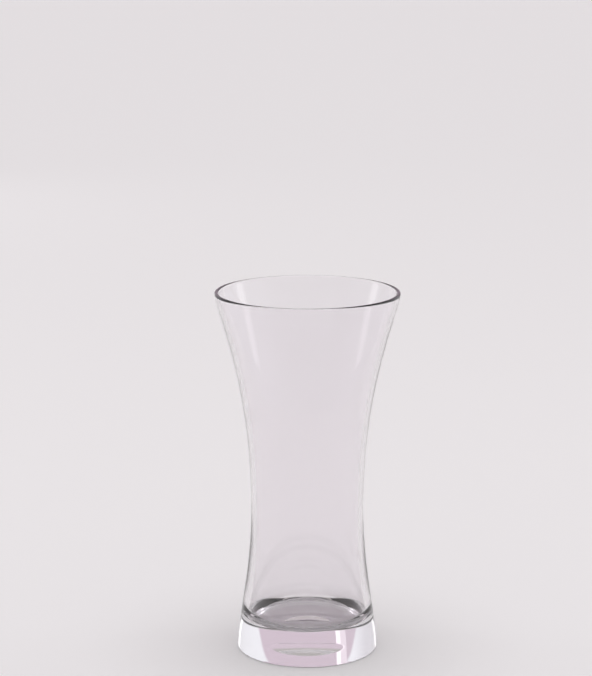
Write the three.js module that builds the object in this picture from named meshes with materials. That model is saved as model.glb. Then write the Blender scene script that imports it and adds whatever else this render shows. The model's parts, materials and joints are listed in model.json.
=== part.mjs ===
// Flared clear glass flower vase, one piece of glass: a heavy solid base, a narrow waist and a wide mouth.
// Millimetres, +Z up. The origin is the centre of the ring that the vase stands on.
// The whole shape is one closed outline, turned about the Z axis.

import * as THREE from "three";

// Driving dimensions
const HEIGHT = 254;
const BASE_RADIUS = 49; // the outside, just above the heel
const WAIST_RADIUS = 39.2; // the outside, at its narrowest
const WAIST_HEIGHT = 100;
const MOUTH_RADIUS = 64; // the outside of the lip
const LIP_LEAN = 0.17; // how far the side leans out at the lip, for each millimetre that it rises

const FLOOR_HEIGHT = 20.8; // the solid glass under the cavity
const FLOOR_CORNER_RADIUS = 9; // where the cavity's floor turns up into its wall
const CAVITY_RADIUS = 40.6; // the cavity, just above that corner
const CAVITY_LEAN = -0.15; // the cavity's wall leans in there, as the outside does
const CAVITY_WAIST_RADIUS = 35.7;
const LIP_THICKNESS = 2.8; // the lip is a half circle across the wall

const HEEL_RADIUS = 1.2; // the rounded edge between the outside and the ring it stands on
const PUNT_RADIUS = 17; // the shallow dome pressed up into the underside
const PUNT_RISE = 2;

// The lengths of the side curves' handles
const BASE_HANDLE = 18;
const CAVITY_HANDLE = 18;
const BELOW_WAIST_HANDLE = 43;
const CAVITY_BELOW_WAIST_HANDLE = 30;
const ABOVE_WAIST_HANDLE = 88;
const LIP_HANDLE = 20;

// How finely the outline is divided, and the turn about the axis
const LOWER_STEPS = 8;
const UPPER_STEPS = 11;
const CORNER_STEPS = 6;
const HEEL_STEPS = 3;
const LIP_STEPS = 6;
const PUNT_STEPS = 3;
const TURN_STEPS = 72;

const { Vector2 } = THREE;

// A round stretch of the outline, between two angles counted anticlockwise from straight out.
function arc(centreRadius, centreHeight, radius, from, to, steps) {
  const curve = new THREE.EllipseCurve(centreRadius, centreHeight, radius, radius, from, to, from > to);
  return curve.getPoints(steps);
}

// One side of the wall from bottom to top, as two curves that meet upright at the waist.
function side(start, startLean, startHandle, waistRadius, belowWaistHandle, end) {
  const lower = new THREE.CubicBezierCurve(
    start,
    new Vector2(start.x + startLean * startHandle, start.y + startHandle),
    new Vector2(waistRadius, WAIST_HEIGHT - belowWaistHandle),
    new Vector2(waistRadius, WAIST_HEIGHT),
  );
  const upper = new THREE.CubicBezierCurve(
    new Vector2(waistRadius, WAIST_HEIGHT),
    new Vector2(waistRadius, WAIST_HEIGHT + ABOVE_WAIST_HANDLE),
    new Vector2(end.x - LIP_LEAN * LIP_HANDLE, end.y - LIP_HANDLE),
    end,
  );
  return [...lower.getPoints(LOWER_STEPS), ...upper.getPoints(UPPER_STEPS).slice(1)];
}

// The punt is part of a sphere, from its top on the axis down to the ring that the vase stands on.
function punt() {
  const sphere = (PUNT_RADIUS ** 2 + PUNT_RISE ** 2) / (2 * PUNT_RISE);
  const reach = Math.asin(PUNT_RADIUS / sphere);
  return arc(0, PUNT_RISE - sphere, sphere, Math.PI / 2, Math.PI / 2 - reach, PUNT_STEPS);
}

function heel() {
  return arc(BASE_RADIUS - HEEL_RADIUS, HEEL_RADIUS, HEEL_RADIUS, -Math.PI / 2, 0, HEEL_STEPS);
}

// The lip's half circle starts and ends square to the leaning wall.
function lip() {
  const radius = LIP_THICKNESS / 2;
  const lean = Math.atan(LIP_LEAN);
  return arc(MOUTH_RADIUS - radius, HEIGHT - radius, radius, -lean, Math.PI - lean, LIP_STEPS);
}

function floorCorner() {
  const lean = Math.atan(-CAVITY_LEAN);
  const centreRadius = CAVITY_RADIUS - FLOOR_CORNER_RADIUS * Math.cos(lean);
  const centreHeight = FLOOR_HEIGHT + FLOOR_CORNER_RADIUS;
  return arc(centreRadius, centreHeight, FLOOR_CORNER_RADIUS, lean, -Math.PI / 2, CORNER_STEPS);
}

// The outline runs from the axis under the vase, out and up the outside, over the lip,
// down the cavity's wall and back to the axis on its floor.
function outline() {
  const heelArc = heel();
  const lipArc = lip();
  const cornerArc = floorCorner();
  const outside = side(
    heelArc.at(-1), 0, BASE_HANDLE, WAIST_RADIUS, BELOW_WAIST_HANDLE, lipArc[0],
  );
  const cavity = side(
    cornerArc[0], CAVITY_LEAN, CAVITY_HANDLE, CAVITY_WAIST_RADIUS, CAVITY_BELOW_WAIST_HANDLE, lipArc.at(-1),
  );
  const underside = punt();
  underside[0].x = 0;
  return [
    ...underside,
    ...heelArc,
    ...outside.slice(1),
    ...lipArc.slice(1),
    ...cavity.reverse().slice(1),
    ...cornerArc.slice(1),
    new Vector2(0, FLOOR_HEIGHT),
  ];
}

// three.js turns an outline about its Y axis, so the body is tipped up onto Z.
function vaseBody() {
  const geometry = new THREE.LatheGeometry(outline(), TURN_STEPS);
  geometry.rotateX(Math.PI / 2);
  const glass = new THREE.MeshStandardMaterial({
    color: 0xeef1f2,
    roughness: 0.03,
    metalness: 0,
    transparent: true,
    opacity: 0.35,
  });
  const mesh = new THREE.Mesh(geometry, glass);
  mesh.name = "vase_body";
  return mesh;
}

const vase = new THREE.Group();
vase.add(vaseBody());

export default vase;
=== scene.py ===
"""The looks of the flared clear glass vase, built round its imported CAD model. Metres, +Z up."""

import json
import math

import bpy
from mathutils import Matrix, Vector, noise


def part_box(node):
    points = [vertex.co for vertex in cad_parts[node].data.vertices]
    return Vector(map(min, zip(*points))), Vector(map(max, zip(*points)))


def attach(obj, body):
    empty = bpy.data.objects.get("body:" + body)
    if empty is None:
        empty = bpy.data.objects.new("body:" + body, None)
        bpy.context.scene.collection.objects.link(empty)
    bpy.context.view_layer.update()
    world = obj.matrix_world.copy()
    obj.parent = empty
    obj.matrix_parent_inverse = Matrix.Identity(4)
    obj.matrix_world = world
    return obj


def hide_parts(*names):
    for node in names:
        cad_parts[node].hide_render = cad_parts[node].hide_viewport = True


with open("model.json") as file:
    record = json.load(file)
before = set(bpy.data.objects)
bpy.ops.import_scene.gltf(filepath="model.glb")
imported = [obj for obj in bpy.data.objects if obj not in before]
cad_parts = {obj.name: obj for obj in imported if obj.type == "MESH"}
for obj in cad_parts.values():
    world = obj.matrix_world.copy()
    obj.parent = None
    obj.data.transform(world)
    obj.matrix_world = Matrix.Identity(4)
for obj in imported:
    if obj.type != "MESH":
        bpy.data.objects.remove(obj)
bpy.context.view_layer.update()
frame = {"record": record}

NODE = "vase_body"
BODY = "root"

# ---- Sizes -------------------------------------------------------------------------------------

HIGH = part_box(NODE)[1]
MOUNTS = {mount["name"]: Vector(mount["pos_m"]) for mount in frame["record"]["mounts"]}
HEIGHT = HIGH.z
MOUTH_RADIUS = HIGH.x
FLOOR_HEIGHT = MOUNTS["cavity_floor"].z

BASE_RADIUS = 0.049
WAIST_RADIUS = 0.0392
WAIST_HEIGHT = 0.100
LIP_LEAN = 0.17
FLOOR_CORNER_RADIUS = 0.009
CAVITY_RADIUS = 0.0406
CAVITY_LEAN = -0.15
CAVITY_WAIST_RADIUS = 0.0357
LIP_THICKNESS = 0.0028
HEEL_RADIUS = 0.0012
PUNT_RADIUS = 0.017
PUNT_RISE = 0.0020

# The lengths of the side curves' handles
BASE_HANDLE = 0.018
CAVITY_HANDLE = 0.018
BELOW_WAIST_HANDLE = 0.043
CAVITY_BELOW_WAIST_HANDLE = 0.030
ABOVE_WAIST_HANDLE = 0.088
LIP_HANDLE = 0.020

# How finely the outline is divided, and the turn about the axis
PUNT_STEPS = 16
HEEL_STEPS = 8
LIP_STEPS = 20
FLOOR_CORNER_STEPS = 20
BELOW_WAIST_STEPS = 32
ABOVE_WAIST_STEPS = 48
FLOOR_STEPS = 8
TURN_STEPS = 256

# The short step at each end of a long stretch
END_STEP = 0.00025

# The glass is never quite even: how far its faces stray, and over what distance. The waves grow from
# nothing at the underside to their full size at FULL_WAVE_HEIGHT.
OUTSIDE_WAVE = 0.00005
CAVITY_WAVE = 0.00014
WAVE_LENGTH = 0.045
FULL_WAVE_HEIGHT = 0.03


# ---- The glass ---------------------------------------------------------------------------------

def arc(centre_radius, centre_height, radius, start, end, steps):
    """A round stretch of the outline, between two angles counted anticlockwise from straight out."""
    angles = [start + (end - start) * i / steps for i in range(steps + 1)]
    return [(centre_radius + radius * math.cos(a), centre_height + radius * math.sin(a)) for a in angles]


def bezier(a, b, c, d, steps):
    """Points along the curve that leaves a towards b and reaches d from c."""
    points = []
    for i in range(steps + 1):
        t = i / steps
        s = 1 - t
        weights = (s ** 3, 3 * s * s * t, 3 * s * t * t, t ** 3)
        points.append(tuple(sum(w * p[k] for w, p in zip(weights, (a, b, c, d))) for k in (0, 1)))
    return points


def side(start, lean, handle, waist_radius, below_waist_handle, end):
    """One side of the wall from bottom to top, as two curves that meet upright at the waist."""
    waist = (waist_radius, WAIST_HEIGHT)
    lower = bezier(
        start,
        (start[0] + lean * handle, start[1] + handle),
        (waist_radius, WAIST_HEIGHT - below_waist_handle),
        waist,
        BELOW_WAIST_STEPS,
    )
    upper = bezier(
        waist,
        (waist_radius, WAIST_HEIGHT + ABOVE_WAIST_HANDLE),
        (end[0] - LIP_LEAN * LIP_HANDLE, end[1] - LIP_HANDLE),
        end,
        ABOVE_WAIST_STEPS,
    )
    return lower + upper[1:]


def sharp_ended(points):
    """The same stretch with a point added just inside each end, so that smooth shading keeps its ends."""
    def just_inside(end, inner):
        part = END_STEP / math.dist(end, inner)
        return tuple(a + (b - a) * part for a, b in zip(end, inner))

    second = just_inside(points[0], points[1])
    last_but_one = just_inside(points[-1], points[-2])
    return [points[0], second, *points[1:-1], last_but_one, points[-1]]


def outline():
    """The vase's closed outline as (radius, height, how far that face may stray), from the axis under it,
    out and up the outside, over the lip and down the cavity's wall, to the axis on its floor."""
    quarter = math.pi / 2
    sphere = (PUNT_RADIUS ** 2 + PUNT_RISE ** 2) / (2 * PUNT_RISE)
    reach = math.asin(PUNT_RADIUS / sphere)
    punt = arc(0, PUNT_RISE - sphere, sphere, quarter, quarter - reach, PUNT_STEPS)
    heel = arc(BASE_RADIUS - HEEL_RADIUS, HEEL_RADIUS, HEEL_RADIUS, -quarter, 0, HEEL_STEPS)
    ring = sharp_ended([(PUNT_RADIUS, 0), heel[0]])
    lip_radius = LIP_THICKNESS / 2
    lip_lean = math.atan(LIP_LEAN)
    lip = arc(
        MOUTH_RADIUS - lip_radius,
        HEIGHT - lip_radius,
        lip_radius,
        -lip_lean,
        math.pi - lip_lean,
        LIP_STEPS,
    )
    cavity_lean = math.atan(-CAVITY_LEAN)
    corner = arc(
        CAVITY_RADIUS - FLOOR_CORNER_RADIUS * math.cos(cavity_lean),
        FLOOR_HEIGHT + FLOOR_CORNER_RADIUS,
        FLOOR_CORNER_RADIUS,
        cavity_lean,
        -quarter,
        FLOOR_CORNER_STEPS,
    )
    outside = side(heel[-1], 0, BASE_HANDLE, WAIST_RADIUS, BELOW_WAIST_HANDLE, lip[0])
    cavity = side(
        corner[0], CAVITY_LEAN, CAVITY_HANDLE, CAVITY_WAIST_RADIUS, CAVITY_BELOW_WAIST_HANDLE, lip[-1]
    )
    floor_edge = corner[-1][0]
    floor = sharp_ended([(floor_edge * (1 - i / FLOOR_STEPS), FLOOR_HEIGHT) for i in range(FLOOR_STEPS)])
    faces = (
        (punt + ring[1:-1], 0),
        (heel + sharp_ended(outside)[1:], OUTSIDE_WAVE),
        (lip[1:], OUTSIDE_WAVE),
        (sharp_ended(cavity[::-1])[1:] + corner[1:] + floor[1:], CAVITY_WAVE),
    )
    points = [(r, z, stray) for stretch, stray in faces for r, z in stretch]
    return points + [(0, FLOOR_HEIGHT, 0)]


def turned_mesh(name, points):
    """One closed surface from an outline that starts and ends on the axis."""
    rings = points[1:-1]
    vertices = [(0, 0, points[0][1])]
    for radius, height, stray in rings:
        growth = min(1, max(0, height / FULL_WAVE_HEIGHT))
        for step in range(TURN_STEPS):
            angle = 2 * math.pi * step / TURN_STEPS
            place = Vector((radius * math.cos(angle), radius * math.sin(angle), height))
            wave = stray * growth * noise.noise(place / WAVE_LENGTH)
            out = radius + wave
            vertices.append((out * math.cos(angle), out * math.sin(angle), height))
    vertices.append((0, 0, points[-1][1]))
    last = len(vertices) - 1
    last_ring = last - TURN_STEPS
    faces = []
    for step in range(TURN_STEPS):
        following = (step + 1) % TURN_STEPS
        faces.append((0, 1 + following, 1 + step))
        faces.append((last, last_ring + step, last_ring + following))
        for ring in range(len(rings) - 1):
            low = 1 + ring * TURN_STEPS
            high = low + TURN_STEPS
            faces.append((low + step, low + following, high + following, high + step))
    mesh = bpy.data.meshes.new(name)
    mesh.from_pydata(vertices, [], faces)
    mesh.shade_smooth()
    piece = bpy.data.objects.new(name, mesh)
    bpy.context.scene.collection.objects.link(piece)
    return piece


def noise_texture(tree, place, stretch, scale, detail):
    """Noise that is finer along an axis with a larger stretch. The scale is in waves for each metre."""
    mapping = tree.nodes.new("ShaderNodeMapping")
    mapping.inputs["Scale"].default_value = stretch
    tree.links.new(place, mapping.inputs["Vector"])
    texture = tree.nodes.new("ShaderNodeTexNoise")
    texture.inputs["Scale"].default_value = scale
    texture.inputs["Detail"].default_value = detail
    tree.links.new(mapping.outputs["Vector"], texture.inputs["Vector"])
    return texture.outputs["Fac"]


GLASS_TINT = (0.955, 0.94, 0.955, 1)
GLASS_INDEX = 1.52

# Where hands and water have left a trace, the polished surface is very slightly rough. The haze starts
# and is full at these levels of its noise.
HAZE_ROUGHNESS = 0.02
HAZE_STARTS = 0.45
HAZE_FULL = 0.75
HAZE_SCALE = 55
HAZE_DETAIL = 3

# Cords: faint upright streaks that drawn glass keeps in its surface
CORD_DEPTH = 0.00001
CORD_STRETCH = (1, 1, 0.12)
CORD_SCALE = 90
CORD_DETAIL = 2


def glass_material():
    """Clear soda-lime glass, polished, with a little haze and faint cords."""
    material = bpy.data.materials.new("clear_glass")
    material.use_nodes = True
    tree = material.node_tree
    shader = tree.nodes["Principled BSDF"]
    shader.inputs["Base Color"].default_value = GLASS_TINT
    shader.inputs["Transmission Weight"].default_value = 1
    shader.inputs["IOR"].default_value = GLASS_INDEX
    place = tree.nodes.new("ShaderNodeTexCoord").outputs["Object"]

    traces = noise_texture(tree, place, (1, 1, 1), HAZE_SCALE, HAZE_DETAIL)
    haze = tree.nodes.new("ShaderNodeMapRange")
    haze.inputs["From Min"].default_value = HAZE_STARTS
    haze.inputs["From Max"].default_value = HAZE_FULL
    haze.inputs["To Max"].default_value = HAZE_ROUGHNESS
    tree.links.new(traces, haze.inputs["Value"])
    tree.links.new(haze.outputs["Result"], shader.inputs["Roughness"])

    cords = noise_texture(tree, place, CORD_STRETCH, CORD_SCALE, CORD_DETAIL)
    bump = tree.nodes.new("ShaderNodeBump")
    bump.inputs["Distance"].default_value = CORD_DEPTH
    tree.links.new(cords, bump.inputs["Height"])
    tree.links.new(bump.outputs["Normal"], shader.inputs["Normal"])
    return material


# ---- Stage, light and camera -------------------------------------------------------------------

def plain_material(name, colour, roughness):
    """One colour all over, for the stage."""
    material = bpy.data.materials.new(name)
    material.use_nodes = True
    shader = material.node_tree.nodes["Principled BSDF"]
    shader.inputs["Base Color"].default_value = (*colour, 1)
    shader.inputs["Roughness"].default_value = roughness
    return material


FLOOR_REACH = 12
FLOOR_GAP = 0.0003
FLOOR_COLOUR = (0.94, 0.935, 0.94)
FLOOR_ROUGHNESS = 0.7


def stage_floor():
    """A plain pale floor, a hair below the ring that the vase stands on."""
    low, high = -FLOOR_REACH, FLOOR_REACH
    mesh = bpy.data.meshes.new("stage_floor")
    mesh.from_pydata([(low, low, 0), (high, low, 0), (high, high, 0), (low, high, 0)], [], [(0, 1, 2, 3)])
    floor = bpy.data.objects.new("stage_floor", mesh)
    floor.location.z = -FLOOR_GAP
    mesh.materials.append(plain_material("pale_floor", FLOOR_COLOUR, FLOOR_ROUGHNESS))
    bpy.context.scene.collection.objects.link(floor)


def soft_light(name, place, target, width, height, watts):
    """An upright rectangle of light that faces its target."""
    light = bpy.data.lights.new(name, "AREA")
    light.shape = "RECTANGLE"
    light.size = width
    light.size_y = height
    light.energy = watts
    lamp = bpy.data.objects.new(name, light)
    lamp.location = place
    aim = Vector(target) - Vector(place)
    lamp.rotation_euler = aim.to_track_quat("-Z", "Y").to_euler()
    bpy.context.scene.collection.objects.link(lamp)


def ramp(tree, value, stops):
    """A colour for each value, between stops given as (value, colour)."""
    low, high = stops[0][0], stops[-1][0]
    scaled = tree.nodes.new("ShaderNodeMapRange")
    scaled.inputs["From Min"].default_value = low
    scaled.inputs["From Max"].default_value = high
    tree.links.new(value, scaled.inputs["Value"])
    node = tree.nodes.new("ShaderNodeValToRGB")
    tree.links.new(scaled.outputs["Result"], node.inputs["Fac"])
    elements = node.color_ramp.elements
    # A new stop starts halfway, and is then moved to its place
    while len(elements) < len(stops):
        elements.new(0.5)
    for element, (at, colour) in zip(elements, stops):
        element.position = (at - low) / (high - low)
        element.color = (*colour, 1)
    return node.outputs["Color"]


# The room's colours: behind the vase, at its sides, in front of it and overhead. The last one darkens the
# left side.
BACKDROP = (0.665, 0.56, 0.635)
SIDE_WALL = (0.94, 0.94, 0.98)
FRONT_ROOM = (0.66, 0.65, 0.66)
CEILING = (0.51, 0.485, 0.475)
OVERHEAD = (2.5, 2.45, 2.5)
LEFT_SHADE = (0.82, 0.80, 0.81)

# Where each begins, in a direction of length 1. The front room, the side walls and the backdrop follow its
# Y plus its Z, and Z counts as WALL_LEAST_Z or more, so that the backdrop is wider towards its top and
# keeps its width low down. The ceiling and the panel overhead follow Z, and the left side's shade X.
WALL_LEAST_Z = 0.26
FRONT_ROOM_ENDS = -0.6
SIDE_WALL_FULL = 0.0
BACKDROP_BEGINS = 1.125
BACKDROP_FULL = 1.145
CEILING_BEGINS = 0.42
CEILING_FULL = 0.52
OVERHEAD_BEGINS = 0.90
OVERHEAD_FULL = 0.96
LEFT_SHADE_FULL = -0.70
LEFT_SHADE_ENDS = -0.50

# A Mix node's colour sockets, which share their names with its other sockets
MIX_FIRST = 6
MIX_SECOND = 7
MIX_RESULT = 2


def mixed(tree, blend_type, first, second):
    """A node that blends the second colour onto the first, fully unless its Factor is linked."""
    node = tree.nodes.new("ShaderNodeMix")
    node.data_type = "RGBA"
    node.blend_type = blend_type
    node.inputs["Factor"].default_value = 1
    tree.links.new(first, node.inputs[MIX_FIRST])
    tree.links.new(second, node.inputs[MIX_SECOND])
    return node


def studio_world():
    """A room for the glass to show: a lavender backdrop behind it, wider towards its top, pale walls at its
    sides, the left one in some shade, and a grey ceiling with a bright panel right overhead. It lights the
    floor evenly."""
    world = bpy.data.worlds.new("studio")
    world.use_nodes = True
    tree = world.node_tree
    direction = tree.nodes.new("ShaderNodeTexCoord").outputs["Generated"]
    split = tree.nodes.new("ShaderNodeSeparateXYZ")
    tree.links.new(direction, split.inputs[0])
    x, y, z = split.outputs

    wall_z = tree.nodes.new("ShaderNodeMath")
    wall_z.operation = "MAXIMUM"
    wall_z.inputs[1].default_value = WALL_LEAST_Z
    tree.links.new(z, wall_z.inputs[0])
    behind = tree.nodes.new("ShaderNodeMath")
    behind.operation = "ADD"
    tree.links.new(y, behind.inputs[0])
    tree.links.new(wall_z.outputs["Value"], behind.inputs[1])
    walls = ramp(
        tree,
        behind.outputs["Value"],
        (
            (FRONT_ROOM_ENDS, FRONT_ROOM),
            (SIDE_WALL_FULL, SIDE_WALL),
            (BACKDROP_BEGINS, SIDE_WALL),
            (BACKDROP_FULL, BACKDROP),
        ),
    )

    ceiling = ramp(tree, z, ((OVERHEAD_BEGINS, CEILING), (OVERHEAD_FULL, OVERHEAD)))
    rise = tree.nodes.new("ShaderNodeMapRange")
    rise.inputs["From Min"].default_value = CEILING_BEGINS
    rise.inputs["From Max"].default_value = CEILING_FULL
    tree.links.new(z, rise.inputs["Value"])
    room = mixed(tree, "MIX", walls, ceiling)
    tree.links.new(rise.outputs["Result"], room.inputs["Factor"])

    shade = ramp(tree, x, ((LEFT_SHADE_FULL, LEFT_SHADE), (LEFT_SHADE_ENDS, (1, 1, 1))))
    shaded = mixed(tree, "MULTIPLY", room.outputs[MIX_RESULT], shade)
    tree.links.new(shaded.outputs[MIX_RESULT], tree.nodes["Background"].inputs["Color"])
    bpy.context.scene.world = world


def studio():
    """The room, a soft light at each side, and a window behind on the left that fades at one edge."""
    studio_world()
    middle = (0, 0, HEIGHT / 2)
    soft_light("right_softbox", (1.45, 0.30, 0.75), middle, width=0.35, height=1.0, watts=1.2)
    soft_light("left_softbox", (-1.45, 0.30, 0.75), middle, width=0.35, height=1.0, watts=1.2)
    soft_light("window", (-0.78, 2.28, 0.61), middle, width=0.13, height=1.2, watts=0.28)
    soft_light("window_edge", (-0.93, 2.22, 0.61), middle, width=0.18, height=1.2, watts=0.17)
    bpy.context.scene.view_settings.view_transform = "Standard"


# The camera stands a little over six vase heights away and looks down about twelve degrees.
CAMERA_PLACE = (-0.0079, -1.5756382, 0.5502656)
CAMERA_DIP = math.radians(11.794)
CAMERA_LENS = 124.5
SENSOR_WIDTH = 36


def photograph_camera():
    """A camera that looks along +Y, tipped down by CAMERA_DIP."""
    data = bpy.data.cameras.new("camera")
    data.lens = CAMERA_LENS
    data.sensor_width = SENSOR_WIDTH
    camera = bpy.data.objects.new("camera", data)
    camera.location = CAMERA_PLACE
    camera.rotation_euler = (math.pi / 2 - CAMERA_DIP, 0, 0)
    bpy.context.scene.collection.objects.link(camera)
    bpy.context.scene.camera = camera


photograph_camera()
vase = turned_mesh("vase_glass", outline())
vase.data.materials.append(glass_material())
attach(vase, BODY)
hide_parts(NODE)
stage_floor()
studio()
